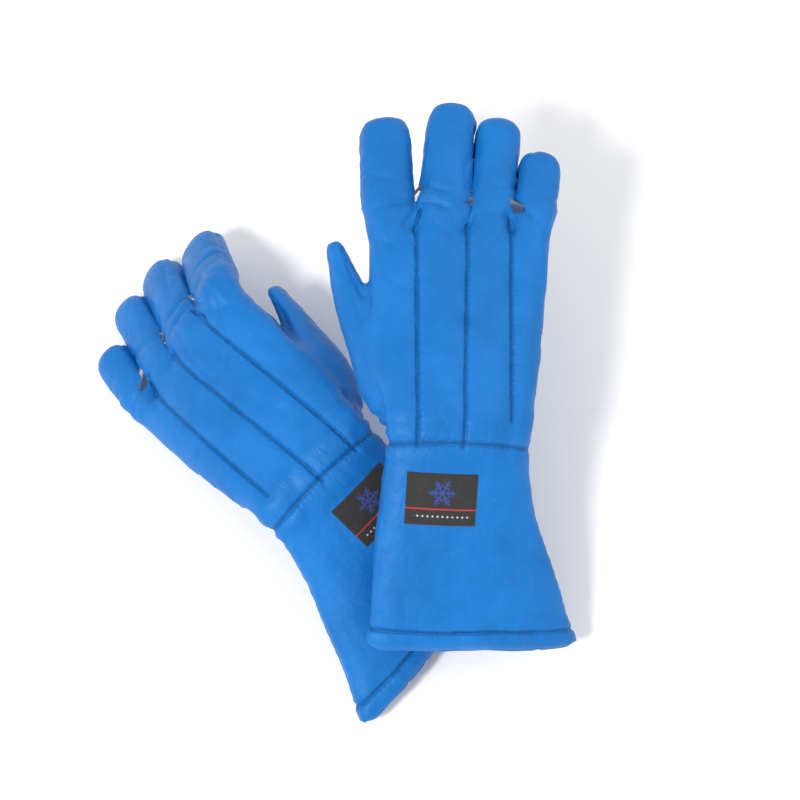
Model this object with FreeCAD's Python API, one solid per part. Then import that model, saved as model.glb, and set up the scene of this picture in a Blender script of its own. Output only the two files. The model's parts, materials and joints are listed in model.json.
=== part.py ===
"""A pair of insulated cryogenic gloves, as they lie on a bench: the right glove across the left one's cuff.

Millimetres. +Z is up from the bench, +Y runs to the right glove's fingertips, and the origin is on the
bench under the middle of the pair. Each glove is built in its own pattern frame (a right hand's): the
origin is on the wrist seam, +Y towards the fingers, +Z out of the back of the hand, and the thumb at -X.
The left glove is the same pattern mirrored. Where a soft layer crosses a bend, it is split there into
two rigid stand-ins, and the moving one has a root rounded about the bend's axis.
"""
import FreeCAD, Part
import math
import os

V = FreeCAD.Vector

# ---- layers, from the outside in
SHELL = 0.9           # woven outer shell with its waterproof barrier
BATT = 3.4            # insulation batting
LINING = 1.3          # brushed inner lining
SEAM_GAP = 0.8        # groove between two sewn back strips

# ---- cuff
CUFF_LENGTH = 135.0
HEM_WIDTH = 144.0
HEM_THICKNESS = 27.0
HEM_SHIFT = 20.0      # the cuff flares more on the little finger's side
HEM_BAND = 13.5       # depth of the turned-in hem
HEM_BAND_THICKNESS = 0.9
WRIST_WIDTH = 98.0
WRIST_THICKNESS = 34.0
CUFF_WAIST = 45.0     # the flare starts this far below the wrist seam
WAIST_WIDTH = 108.0
WAIST_THICKNESS = 33.0
WAIST_SHIFT = 4.0

# ---- hand
PALM_Y = 68.0
PALM_WIDTH = 114.0
PALM_THICKNESS = 32.0
KNUCKLE_Y = 150.0     # the line that the four fingers bend about
KNUCKLE_WIDTH = 127.0
KNUCKLE_THICKNESS = 27.0
KNUCKLE_SHIFT = 3.5
WRIST_PIVOT = 10.0    # the wrist bends this far above its seam
BEND_GAP = 0.8        # clearance between a rounded root and the end that it faces
LAYER_GAP = 0.15      # a facing or a label lies this far off the layer under it
ROOT_TRIM = 0.3       # a rounded root is this much thinner than the digit that it carries, each side

# ---- digits: left and right edge at the root, root to tip, and width at the tip
FINGERS = {
    "index": (-59.5, -26.8, 82.0, 29.0),
    "middle": (-24.4, 8.4, 92.0, 28.0),
    "ring": (9.8, 36.6, 82.0, 25.0),
    "little": (38.6, 66.0, 57.0, 23.5),
}
FINGER_THICKNESS = 25.0
THUMB_ROOT = (-50.0, 46.0, -13.0)
THUMB_WIDTH = 36.0
THUMB_TIP_WIDTH = THUMB_WIDTH * 7 / 12
THUMB_THICKNESS = 23.0
THUMB_LENGTH = 92.0
THUMB_SPREAD = 18.0   # away from the index finger
THUMB_DROP = -2.0     # towards the palm's side
THUMB_TURN = -58.0    # how the thumb's flat is turned about its own length
THUMB_BACK = -6.0     # its travel from where it lies, away from the palm
THUMB_IN = 16.0       # and towards it
THUMB_ROOM = 1.2      # clearance around it in the hand

# ---- woven label on the back of the cuff
LABEL_WIDTH = 46.0
LABEL_HEIGHT = 34.5
LABEL_THICKNESS = 1.0
LABEL_X = -11.5
LABEL_TOP = 14.5      # below the wrist seam
LABEL_LINE = 1.0      # the coloured pick across the label
LABEL_LINE_UP = 11.0  # above its lower edge

# ---- how each glove lies: its wrist, headings and bends in degrees. thumb_up rolls the thumb's side up,
# at the hem, the wrist and the knuckles; a bend is positive towards the palm
GLOVES = {
    "right": dict(side=1, wrist=(66.0, -74.0, 122.0), yaw=-5.0, pitch=33.0, thumb_up=(18.0, 12.0, 5.0),
                  wrist_bend=29.0, finger_bend=(2.0, 0.0, 2.0, 5.0), finger_spread=(2.0, -6.5, -7.5, -9.0),
                  thumb_bend=0.0),
    "left": dict(side=-1, wrist=(-22.0, -84.0, 84.0), yaw=50.0, pitch=30.0, thumb_up=(1.0, 12.0, 35.0),
                 wrist_bend=44.0, finger_bend=(30.0, 22.0, 13.0, 0.0), finger_spread=(3.0, 2.0, 4.0, 6.0),
                 thumb_bend=6.0),
}

LAID_CUFF = 135.0     # the wrist heights above are for this cuff length; a longer cuff lifts its wrist

BIG = 400.0           # reaches past any glove
RUN = 6.0             # how far a form that is cut away runs past the ends of the one that it is cut from
LAYER_SUFFIXES = ("_shell", "_insulation", "_lining")


def turned(axis, degrees):
    """A rotation about the frame's origin."""
    return FreeCAD.Placement(V(), FreeCAD.Rotation(V(*axis), degrees))


def moved(*offset):
    return FreeCAD.Placement(V(*offset), FreeCAD.Rotation())


def placed(shape, placement):
    out = shape.copy()
    out.Placement = placement.multiply(out.Placement)
    return out


def slot_wire(y, width, thickness, shift=0.0, roll=0.0):
    """A closed rounded slot across the glove at that height, rolled about the glove's length."""
    r = thickness / 2
    half = width / 2 - r
    corners = [V(shift - half, y, -r), V(shift + half, y, -r), V(shift + half, y, r), V(shift - half, y, r)]
    wire = Part.Wire([
        Part.makeLine(corners[0], corners[1]),
        Part.Arc(corners[1], V(shift + width / 2, y, 0), corners[2]).toShape(),
        Part.makeLine(corners[2], corners[3]),
        Part.Arc(corners[3], V(shift - width / 2, y, 0), corners[0]).toShape(),
    ])
    wire.rotate(V(), V(0, 1, 0), roll)
    return wire


def ruled_form(sections, inset, run):
    """A solid through (y, width, thickness, shift, roll) sections drawn in by inset. It runs straight past
    both ends, so that forms with different runs share their faces in between."""
    first, last = sections[0], sections[-1]
    if run:
        sections = [(first[0] - run, *first[1:]), *sections, (last[0] + run, *last[1:])]
    wires = [slot_wire(y, width - 2 * inset, thickness - 2 * inset, shift, roll)
             for y, width, thickness, shift, roll in sections]
    return Part.makeLoft(wires, True, True)


def cuff_form(pose, inset, run=0.0):
    """The cuff from its hem to the wrist's gap, drawn in by inset and run past both ends."""
    hem_roll, wrist_roll, _ = pose["thumb_up"]
    rolled = hem_roll - wrist_roll
    end = WRIST_PIVOT - WRIST_THICKNESS / 2 - BEND_GAP
    waist_share = (CUFF_WAIST + end) / (CUFF_LENGTH + end)
    return ruled_form([
        (-CUFF_LENGTH, HEM_WIDTH, HEM_THICKNESS, HEM_SHIFT, rolled),
        (-CUFF_WAIST, WAIST_WIDTH, WAIST_THICKNESS, WAIST_SHIFT, rolled * waist_share),
        (end, WRIST_WIDTH, WRIST_THICKNESS, 0.0, 0.0),
    ], inset, run)


def hand_form(pose, inset, run=0.0):
    """The hand from its rounded wrist root to the knuckles, drawn in by inset and run past both ends."""
    _, wrist_roll, knuckle_roll = pose["thumb_up"]
    rolled = knuckle_roll - wrist_roll
    end = KNUCKLE_Y - FINGER_THICKNESS / 2 - BEND_GAP
    return ruled_form([
        (WRIST_PIVOT - WRIST_THICKNESS / 2, WRIST_WIDTH, WRIST_THICKNESS, 0.0, 0.0),
        (WRIST_PIVOT, WRIST_WIDTH, WRIST_THICKNESS, 0.0, 0.0),
        (PALM_Y, PALM_WIDTH, PALM_THICKNESS, 0.0, rolled * PALM_Y / KNUCKLE_Y),
        (end, KNUCKLE_WIDTH, KNUCKLE_THICKNESS, KNUCKLE_SHIFT, rolled),
    ], inset, run)


def digit_form(width, tip_width, thickness, length, inset, run=0.0):
    """A tapered finger stall along +Y with a round end, drawn in by inset; its root runs back to -run."""
    flat = thickness / width
    root, tip = width / 2 - inset / flat, tip_width / 2 - inset / flat
    body = length - tip_width / 2
    back = thickness / 2 + run
    grow = (root - tip) / body
    end = length - inset
    half_way = math.sqrt(0.5)   # sine of 45 degrees
    cap = Part.Arc(V(tip, body, 0), V(tip * half_way, body + (end - body) * half_way, 0), V(0, end, 0))
    wire = Part.Wire([
        Part.makeLine(V(0, -back, 0), V(root + grow * back, -back, 0)),
        Part.makeLine(V(root + grow * back, -back, 0), V(tip, body, 0)),
        cap.toShape(),
        Part.makeLine(V(0, end, 0), V(0, -back, 0)),
    ])
    solid = Part.Face(wire).revolve(V(), V(0, 1, 0), 360)
    squeeze = FreeCAD.Matrix()
    squeeze.A33 = flat
    return solid.transformGeometry(squeeze)


def root_clip(radius):
    """All space ahead of a bend's axis, with a half round root of that radius behind it."""
    top, back = V(0, 0, radius), V(0, -radius, 0)
    wire = Part.Wire([
        Part.Arc(V(0, 0, -radius), back, top).toShape(),
        Part.makeLine(top, V(0, 0, BIG)),
        Part.makeLine(V(0, 0, BIG), V(0, BIG, BIG)),
        Part.makeLine(V(0, BIG, BIG), V(0, BIG, -BIG)),
        Part.makeLine(V(0, BIG, -BIG), V(0, 0, -BIG)),
        Part.makeLine(V(0, 0, -BIG), V(0, 0, -radius)),
    ])
    return placed(Part.Face(wire).extrude(V(2 * BIG, 0, 0)), moved(-BIG, 0, 0))


def layers(form, clip=None):
    """Outer shell, batting and lining of one form, nested and open at both ends that run past it.
    form(inset, run) is a solid; clip keeps only what lies inside it."""
    out = []
    inset = 0.0
    for thick in (SHELL, BATT, LINING):
        layer = form(inset, 0.0).cut(form(inset + thick, RUN))
        out.append(layer.common(clip) if clip else layer)
        inset += thick
    return out


def without(shape, cutters):
    """The largest solid that is left of a piece when the cutters are taken out of it."""
    for cutter in cutters:
        shape = shape.cut(cutter)
    return max(shape.Solids, key=lambda solid: solid.Volume)


def block(x0, x1, y0, y1, z0, z1):
    return placed(Part.makeBox(x1 - x0, y1 - y0, z1 - z0), moved(x0, y0, z0))


def wrist_frame(pose):
    """Pattern frame at the wrist, turned so that the thumb's side is up as far as at the wrist."""
    return turned((0, 1, 0), pose["thumb_up"][1])


def wrist_bent(pose):
    """The wrist's bend at rest, about the X axis through its pivot."""
    return moved(0, WRIST_PIVOT, 0).multiply(turned((1, 0, 0), -pose["wrist_bend"])).multiply(
        moved(0, -WRIST_PIVOT, 0))


def knuckle_frame(pose, y):
    """The hand's own twist at that height."""
    rolled = (pose["thumb_up"][2] - pose["thumb_up"][1]) * min(y / KNUCKLE_Y, 1.0)
    return turned((0, 1, 0), rolled)


def in_bench(pose):
    """From the pattern frame to the bench, without the left glove's mirroring. The hem keeps its height."""
    x, y, z = pose["wrist"]
    lift = (CUFF_LENGTH - LAID_CUFF) * math.sin(math.radians(pose["pitch"]))
    return moved(x, y, z + lift).multiply(turned((0, 0, 1), pose["yaw"])).multiply(
        turned((1, 0, 0), pose["pitch"]))


def cuff_pieces(pose):
    shell, batt, lining = layers(lambda inset, run: cuff_form(pose, inset, run))
    inside = SHELL + BATT + LINING + LAYER_GAP
    band = cuff_form(pose, inside).cut(cuff_form(pose, inside + HEM_BAND_THICKNESS, RUN))
    band = band.common(block(-BIG, BIG, -CUFF_LENGTH, HEM_BAND - CUFF_LENGTH, -BIG, BIG))
    back = block(-BIG, BIG, -BIG, BIG, 0, BIG)
    out = {"cuff_back_panel": shell.common(back), "cuff_palm_panel": shell.cut(back),
           "cuff_insulation": batt, "cuff_lining": lining, "hem_facing": band}
    out.update(label_pieces(pose))
    return out


def label_pieces(pose):
    """The woven label follows the cuff's face: a skin just outside it, cut to the label's outline."""
    skin = cuff_form(pose, -LABEL_THICKNESS - LAYER_GAP).cut(cuff_form(pose, -LAYER_GAP, RUN))
    x0, y1 = LABEL_X - LABEL_WIDTH / 2, -LABEL_TOP
    x1, y0 = x0 + LABEL_WIDTH, y1 - LABEL_HEIGHT
    line = y0 + LABEL_LINE_UP
    field = skin.common(block(x0, x1, line + LABEL_LINE, y1, 0, BIG))
    foot = skin.common(block(x0, x1, y0, line, 0, BIG))
    pick = skin.common(block(x0, x1, line, line + LABEL_LINE, 0, BIG))
    return {"label_patch": Part.makeCompound([field, foot]), "label_line": pick}


def thumb_travel(pose):
    """The room in the hand that the thumb's root sweeps: a box around it at rest and at both ends."""
    half = THUMB_WIDTH / 2 + THUMB_ROOM
    reach = THUMB_THICKNESS / 2 + THUMB_ROOM
    box = block(-half, half, -reach, BIG, -reach, reach)
    rest = pose["thumb_bend"]
    return [placed(box, thumb_frame(pose, rest + swing)) for swing in (THUMB_BACK, 0.0, THUMB_IN)]


def hand_pieces(pose):
    clip = placed(root_clip(WRIST_THICKNESS / 2 - ROOT_TRIM), moved(0, WRIST_PIVOT, 0))
    shell, batt, lining = layers(lambda inset, run: hand_form(pose, inset, run), clip)
    palm = shell.cut(block(-BIG, BIG, -BIG, BIG, 0, BIG))
    back = shell.common(block(-BIG, BIG, -BIG, BIG, 0, BIG))
    edges = [-BIG] + [(FINGERS[a][1] + FINGERS[b][0]) / 2
                      for a, b in (("index", "middle"), ("middle", "ring"), ("ring", "little"))] + [BIG]
    out = {"palm_shell": palm, "hand_insulation": batt, "hand_lining": lining}
    for name, low, high in zip(FINGERS, edges, edges[1:]):
        out[name + "_back_strip"] = back.common(
            block(low + SEAM_GAP / 2, high - SEAM_GAP / 2, -BIG, BIG, 0, BIG))
    room = thumb_travel(pose)
    return {k: without(placed(v, wrist_bent(pose)), room) for k, v in out.items()}


def finger_frame(pose, name, bend):
    """From a finger's own frame, with its root at the origin, to the pattern frame."""
    left, right = FINGERS[name][:2]
    return wrist_bent(pose).multiply(knuckle_frame(pose, KNUCKLE_Y)).multiply(
        moved((left + right) / 2, KNUCKLE_Y, 0)).multiply(turned((1, 0, 0), -bend))


def finger_pieces(pose, name, bend, spread):
    left, right, length, tip = FINGERS[name]
    clip = root_clip(FINGER_THICKNESS / 2 - ROOT_TRIM)

    def form(inset, run):
        solid = digit_form(right - left, tip, FINGER_THICKNESS, length, inset, run)
        return placed(solid, turned((0, 0, 1), spread))

    frame = finger_frame(pose, name, bend)
    return {name + suffix: placed(s, frame) for suffix, s in zip(LAYER_SUFFIXES, layers(form, clip))}


def thumb_frame(pose, bend):
    root = wrist_bent(pose).multiply(knuckle_frame(pose, THUMB_ROOT[1])).multiply(moved(*THUMB_ROOT))
    for axis, degrees in (((0, 0, 1), THUMB_SPREAD), ((1, 0, 0), THUMB_DROP), ((0, 1, 0), THUMB_TURN),
                          ((1, 0, 0), -bend)):
        root = root.multiply(turned(axis, degrees))
    return root


def thumb_pieces(pose, bend):
    clip = root_clip(THUMB_THICKNESS / 2 - ROOT_TRIM)

    def form(inset, run):
        return digit_form(THUMB_WIDTH, THUMB_TIP_WIDTH, THUMB_THICKNESS, THUMB_LENGTH, inset, run)

    frame = thumb_frame(pose, bend)
    return {"thumb" + suffix: placed(s, frame) for suffix, s in zip(LAYER_SUFFIXES, layers(form, clip))}


def glove(name):
    """Every piece of one glove where it lies, grouped by the body that it moves with."""
    pose = GLOVES[name]
    groups = {"cuff": cuff_pieces(pose), "hand": hand_pieces(pose),
              "thumb": thumb_pieces(pose, pose["thumb_bend"])}
    for finger, bend, spread in zip(FINGERS, pose["finger_bend"], pose["finger_spread"]):
        groups[finger] = finger_pieces(pose, finger, bend, spread)
    frame = in_bench(pose)
    out = {}
    for body, pieces in groups.items():
        for piece, shape in pieces.items():
            shape = placed(shape, wrist_frame(pose))
            if pose["side"] < 0:
                shape = shape.mirror(V(), V(1, 0, 0))
            out[body, name + "_" + piece] = placed(shape, frame)
    return out


def to_bench(shapes):
    """The move that sets the pair on the bench, with the middle of its box over the origin."""
    boxes = [s.optimalBoundingBox(False, False) for s in shapes]
    low = [min(getattr(b, side) for b in boxes) for side in ("XMin", "YMin", "ZMin")]
    high = [max(getattr(b, side) for b in boxes) for side in ("XMax", "YMax")]
    return moved(-(low[0] + high[0]) / 2, -(low[1] + high[1]) / 2, -low[2])


def pair():
    """Every piece of both gloves on the bench as {(glove, body, piece): shape}, and the move that set it."""
    out = {(name, *key): shape for name in GLOVES for key, shape in glove(name).items()}
    move = to_bench([s for (_, _, piece), s in out.items() if "shell" in piece or "panel" in piece
                     or "strip" in piece or "label" in piece])
    return {key: placed(shape, move) for key, shape in out.items()}, move


def main():
    os.makedirs("parts", exist_ok=True)
    for (_, _, piece), shape in pair()[0].items():
        shape.exportStep(f"parts/{piece}.step")


if __name__ == "__main__":
    main()
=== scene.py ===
"""The looks of the pair of cryogenic gloves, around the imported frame. Metres, in the frame's own axes.

One padded glove is made flat, in a pattern frame (a right hand, thumb at -X, origin on the wrist seam): its
forms are joined by a voxel remesh, swelled by cloth simulation against its sewn lines, refined, and then
given seams, puckers and creases. Each glove of the pair is that pattern, mirrored for the left, bent and
laid as its CAD bodies lie, and cut where its bodies meet.
"""
import json
import math

import bmesh
import bpy
import numpy as np
from mathutils import Matrix, Vector
from mathutils.bvhtree import BVHTree


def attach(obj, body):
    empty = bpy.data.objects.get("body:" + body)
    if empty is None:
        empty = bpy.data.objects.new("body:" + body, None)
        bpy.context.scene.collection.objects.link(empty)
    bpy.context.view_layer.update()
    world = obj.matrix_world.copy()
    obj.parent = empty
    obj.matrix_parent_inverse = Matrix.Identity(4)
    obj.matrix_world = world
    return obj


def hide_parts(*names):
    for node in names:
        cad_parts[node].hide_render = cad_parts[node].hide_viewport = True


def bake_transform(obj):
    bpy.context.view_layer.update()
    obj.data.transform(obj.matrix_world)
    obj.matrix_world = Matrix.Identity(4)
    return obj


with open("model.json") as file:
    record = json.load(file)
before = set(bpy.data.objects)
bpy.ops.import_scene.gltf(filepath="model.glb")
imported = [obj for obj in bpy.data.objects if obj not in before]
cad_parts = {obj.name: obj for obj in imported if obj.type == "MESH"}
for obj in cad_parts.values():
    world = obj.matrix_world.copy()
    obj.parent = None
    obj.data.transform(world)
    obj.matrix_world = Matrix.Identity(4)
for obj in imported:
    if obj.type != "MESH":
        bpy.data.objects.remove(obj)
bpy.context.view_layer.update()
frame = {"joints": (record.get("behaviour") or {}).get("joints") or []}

# ---- the pattern's driving sizes
CUFF = 0.135            # wrist seam to hem
HEM_BAND = 0.0135       # hem stitches above the edge
PIVOT = 0.010           # the wrist bends here
WRIST_REACH = 0.024     # its bend is spread over this much cloth on each side
KNUCKLE = 0.150         # the fingers bend here
SHELL = 0.0009
BATTING = 0.0034

# section: y, half width, half thickness, sideways shift
BODY_SECTIONS = [(-CUFF, 0.0750, 0.0131, 0.0230), (-0.100, 0.0663, 0.0146, 0.0143),
                 (-0.045, 0.0532, 0.0160, 0.0040), (-0.018, 0.0495, 0.0164, 0.0008),
                 (0.0, 0.0482, 0.0165, 0.0), (0.020, 0.0500, 0.0164, 0.0), (0.068, 0.0564, 0.0156, 0.0),
                 (0.115, 0.0605, 0.0142, 0.0020), (KNUCKLE - 0.008, 0.0625, 0.0124, 0.0032)]

# finger: root centre, half width at the root and near the tip, length, fan of the flat pattern in degrees
FINGERS = {"index": (-0.0432, 0.0176, 0.0160, 0.084, 20.0),
           "middle": (-0.0080, 0.0174, 0.0156, 0.094, 7.0),
           "ring": (0.0232, 0.0143, 0.0140, 0.084, -7.0),
           "little": (0.0523, 0.0143, 0.0132, 0.059, -20.0)}
FINGER_HALF_THICKNESS = 0.0124
FINGER_BACK = 0.024     # a finger's form runs this far back into the palm
THUMB = dict(root=(-0.0500, 0.046, -0.013), half_width=0.0180, tip=0.0085, half_thickness=0.0118,
             length=0.104, spread=18.0, drop=-2.0, turn=-58.0, back=0.044)

# how each glove lies; the same poses as the frame's bodies, in degrees
GLOVES = {"right": dict(side=1, yaw=-5.0, pitch=33.0, thumb_up=(18.0, 12.0, 5.0), wrist_bend=29.0,
                        finger_bend=(2.0, 0.0, 2.0, 5.0), finger_spread=(2.0, -6.5, -7.5, -9.0),
                        thumb_bend=0.0),
          "left": dict(side=-1, yaw=50.0, pitch=30.0, thumb_up=(1.0, 12.0, 35.0), wrist_bend=44.0,
                       finger_bend=(30.0, 22.0, 13.0, 0.0), finger_spread=(3.0, 2.0, 4.0, 6.0),
                       thumb_bend=6.0)}

DETAIL_SEEDS = {"right": 11, "left": 37}
WRIST_FOLD_PITCH = 0.0135
FULL_FOLD_BEND = 44.0   # the wrist bend, in degrees, at which its folds are deepest

VOXEL = 0.0034          # of the remesh that joins the forms
SWELL_FRAMES = 16       # steps of the cloth simulation
SWELL_CAP = 0.006       # no point moves further than this


# ---- small maths

def turn(axis, degrees):
    """Rotation matrix about a frame axis."""
    return np.array(Matrix.Rotation(math.radians(degrees), 3, axis))


def smooth_step(value, low, high):
    t = np.clip((value - low) / (high - low), 0, 1)
    return t * t * (3 - 2 * t)


def turned_by(points, axis, degrees):
    """Each point turned about a frame axis by its own angle."""
    angle = np.radians(degrees)
    c, s = np.cos(angle), np.sin(angle)
    out = points.copy()
    i, j = {"X": (1, 2), "Y": (2, 0), "Z": (0, 1)}[axis]
    out[:, i] = c * points[:, i] - s * points[:, j]
    out[:, j] = s * points[:, i] + c * points[:, j]
    return out


def value_noise(points, size, seed):
    """Smooth noise from -1 to 1 with features of that size."""
    q = points / size
    cell = np.floor(q).astype(np.int64)
    f = q - cell
    f = f * f * (3 - 2 * f)
    total = np.zeros(len(points))
    for corner in np.ndindex(2, 2, 2):
        k = cell + corner
        mixed = (k[:, 0] * 73856093) ^ (k[:, 1] * 19349663) ^ (k[:, 2] * 83492791) ^ (seed * 2654435761)
        mixed = (mixed ^ (mixed >> 13)) * 1274126177
        value = ((mixed ^ (mixed >> 16)) & 0xFFFF) / 32767.5 - 1
        share = np.prod(np.where(np.array(corner) == 1, f, 1 - f), axis=1)
        total += value * share
    return total


# ---- mesh making

def mesh_object(name, points, faces):
    mesh = bpy.data.meshes.new(name)
    mesh.from_pydata([tuple(p) for p in points], [], [tuple(f) for f in faces])
    mesh.update()
    obj = bpy.data.objects.new(name, mesh)
    bpy.context.scene.collection.objects.link(obj)
    return obj


def smooth_shaded(obj):
    for polygon in obj.data.polygons:
        polygon.use_smooth = True


def coords(obj):
    out = np.zeros(len(obj.data.vertices) * 3, np.float32)
    obj.data.vertices.foreach_get("co", out)
    return out.reshape(-1, 3).astype(float)


def normals(obj):
    out = np.zeros(len(obj.data.vertices) * 3, np.float32)
    obj.data.vertices.foreach_get("normal", out)
    return out.reshape(-1, 3).astype(float)


def set_coords(obj, points):
    obj.data.vertices.foreach_set("co", np.asarray(points, np.float32).ravel())
    obj.data.update()


def loft(rings):
    """Points and faces of a closed tube through rings of equal length."""
    n = len(rings[0])
    points = np.concatenate(rings)
    faces = []
    for r in range(len(rings) - 1):
        for i in range(n):
            j = (i + 1) % n
            faces.append((r * n + i, r * n + j, (r + 1) * n + j, (r + 1) * n + i))
    faces.append(tuple(range(n))[::-1])
    faces.append(tuple(range((len(rings) - 1) * n, len(rings) * n)))
    return points, faces


def flat_ring(y, half_width, half_thickness, shift=0.0, count=40, squareness=2.6):
    a = np.linspace(0, 2 * np.pi, count, endpoint=False)
    c, s = np.cos(a), np.sin(a)
    x = np.sign(c) * np.abs(c) ** (2 / squareness) * half_width + shift
    z = np.sign(s) * np.abs(s) ** (2 / squareness) * half_thickness
    return np.stack([x, np.full(count, y), z], 1)


def finger_rings(half_width, tip, length):
    """A finger stall along +Y, pinched at its root and blunt at its end, its root run back into the palm."""
    straight = length - tip
    rings = []
    for y in (-FINGER_BACK, -0.010, 0.0, 0.006, 0.016, 0.030, 0.5 * straight, 0.8 * straight, straight):
        pinch = 1 - 0.06 * math.exp(-(y / 0.011) ** 2)
        w = (half_width + (tip - half_width) * smooth_step(y, 0, straight)) * pinch
        thick = 0.86 + 0.14 * w / half_width
        if y < 0:
            thick = 0.35 + 0.65 * smooth_step(y, -FINGER_BACK, -0.004)
        rings.append(flat_ring(y, w, FINGER_HALF_THICKNESS * thick, squareness=2.3))
    for t in np.radians(np.linspace(18, 82, 6)):
        rings.append(flat_ring(straight + tip * math.sin(t), tip * math.cos(t) ** 0.62,
                               FINGER_HALF_THICKNESS * math.cos(t) ** 0.7, squareness=2.3))
    return rings


def thumb_rings():
    """The thumb's stall along +Y: a wedge that thins to a sharp end, its root faired back into the palm."""
    half_width, tip, half_thickness = THUMB["half_width"], THUMB["tip"], THUMB["half_thickness"]
    straight = THUMB["length"] - 0.004
    rings = []
    for y in np.linspace(-THUMB["back"], straight, 12):
        into = smooth_step(y, -THUMB["back"], 0.006)
        w = half_width + (tip - half_width) * max(0.0, y / straight)
        thin = min(1.0, 0.40 + 0.60 * (straight - y) / 0.046)
        rings.append(flat_ring(y, w * (0.55 + 0.45 * into), half_thickness * thin * (0.45 + 0.55 * into),
                               squareness=2.2))
    rings.append(flat_ring(THUMB["length"], tip * 0.6, half_thickness * 0.18, squareness=2.2))
    return rings


def thumb_matrix():
    return turn("Z", THUMB["spread"]) @ turn("X", THUMB["drop"]) @ turn("Y", THUMB["turn"])


def flat_forms():
    """The glove's forms in its flat pattern, closed and overlapping, as one object."""
    forms = [loft([flat_ring(y, w, t, shift) for y, w, t, shift in BODY_SECTIONS])]
    for centre, root, tip, length, fan in FINGERS.values():
        points, faces = loft(finger_rings(root, tip, length))
        forms.append((points @ turn("Z", fan).T + (centre, KNUCKLE, 0), faces))
    points, faces = loft(thumb_rings())
    forms.append((points @ thumb_matrix().T + THUMB["root"], faces))
    all_points, all_faces, start = [], [], 0
    for points, faces in forms:
        all_points.append(points)
        all_faces += [tuple(start + i for i in f) for f in faces]
        start += len(points)
    return mesh_object("pattern", np.concatenate(all_points), all_faces)


def apply_modifier(obj, kind, **settings):
    modifier = obj.modifiers.new(kind, kind)
    for key, value in settings.items():
        setattr(modifier, key, value)
    bake(obj)
    return obj


def bake(obj):
    """The evaluated mesh becomes the object's own, with no modifier left."""
    graph = bpy.context.evaluated_depsgraph_get()
    mesh = bpy.data.meshes.new_from_object(obj.evaluated_get(graph))
    obj.modifiers.clear()
    old = obj.data
    obj.data = mesh
    bpy.data.meshes.remove(old)


# ---- sewn lines of the pattern, in metres from the wrist seam's middle

WRIST_ARCH = 0.0030     # the wrist seam bows towards the fingers on the back

BACK_SEAMS = [((-0.0294, 0.001), (-0.0256, 0.157)), ((0.0006, 0.001), (0.0084, 0.152)),
              ((0.0325, 0.016), (0.0375, 0.154))]


def line_distance(points, a, b):
    """How far each point is from a line in plan, and how far along it, from 0 to 1."""
    a, d = np.array(a), np.array(b) - np.array(a)
    t = np.clip(((points[:, :2] - a) @ d) / (d @ d), 0, 1)
    return np.linalg.norm(points[:, :2] - a - t[:, None] * d, axis=1), t


def back_side(points):
    """1 on the back of the hand, 0 on the palm."""
    return smooth_step(points[:, 2], -0.001, 0.004)


def side_distance(points):
    """How far a point of the cuff or the hand is from the seam along its edges."""
    ys = np.array([s[0] for s in BODY_SECTIONS])
    half = np.interp(points[:, 1], ys, [s[1] for s in BODY_SECTIONS])
    shift = np.interp(points[:, 1], ys, [s[3] for s in BODY_SECTIONS])
    out = np.hypot(points[:, 2], np.maximum(0, half - 0.004 - np.abs(points[:, 0] - shift)))
    return np.where(points[:, 1] < 0.075, out, 1.0)


def swell(obj):
    """The padding swells between the sewn lines: cloth with pressure, held at the seams."""
    rest = coords(obj)
    hold = np.zeros(len(rest))
    for a, b in BACK_SEAMS:
        d, _ = line_distance(rest, a, b)
        hold = np.maximum(hold, back_side(rest) * (1 - smooth_step(d, 0.0008, 0.0042)))
    hold = np.maximum(hold, 1 - smooth_step(np.abs(rest[:, 1]), 0.001, 0.006))
    hold = np.maximum(hold, 1 - smooth_step(rest[:, 1], -CUFF + 0.002, -CUFF + 0.010))
    hold = np.maximum(hold, 0.9 * (1 - smooth_step(side_distance(rest), 0.001, 0.005)))
    group = obj.vertex_groups.new(name="sewn")
    for i in np.nonzero(hold > 0.02)[0]:
        group.add([int(i)], float(hold[i]), "REPLACE")
    modifier = obj.modifiers.new("swell", "CLOTH")
    cloth = modifier.settings
    cloth.vertex_group_mass = "sewn"
    cloth.pin_stiffness = 1.0
    cloth.use_pressure = True
    cloth.uniform_pressure_force = 4.0
    cloth.tension_stiffness = cloth.compression_stiffness = 12.0
    cloth.shear_stiffness = 6.0
    cloth.bending_stiffness = 0.35
    cloth.effector_weights.gravity = 0.0
    modifier.collision_settings.use_collision = False
    modifier.point_cache.frame_end = SWELL_FRAMES
    for step in range(1, SWELL_FRAMES + 1):
        bpy.context.scene.frame_set(step)
    bake(obj)
    bpy.context.scene.frame_set(1)
    move = coords(obj) - rest
    far = np.linalg.norm(move, axis=1, keepdims=True)
    set_coords(obj, rest + move * np.minimum(1, SWELL_CAP / np.maximum(far, 1e-9)))
    obj.vertex_groups.clear()


def open_hem(obj, y):
    """Everything past that height is cut away, so that the cuff is open there."""
    mesh = bmesh.new()
    mesh.from_mesh(obj.data)
    everything = mesh.verts[:] + mesh.edges[:] + mesh.faces[:]
    bmesh.ops.bisect_plane(mesh, geom=everything, plane_co=(0, y, 0), plane_no=(0, -1, 0), clear_outer=True)
    mesh.to_mesh(obj.data)
    mesh.free()
    obj.data.update()


# ---- the pattern's own fields, at its points

def finger_space(points, name):
    """A point in a finger's own frame in the flat pattern."""
    centre, _, _, _, fan = FINGERS[name]
    return (points - (centre, KNUCKLE, 0)) @ turn("Z", fan)


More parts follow.
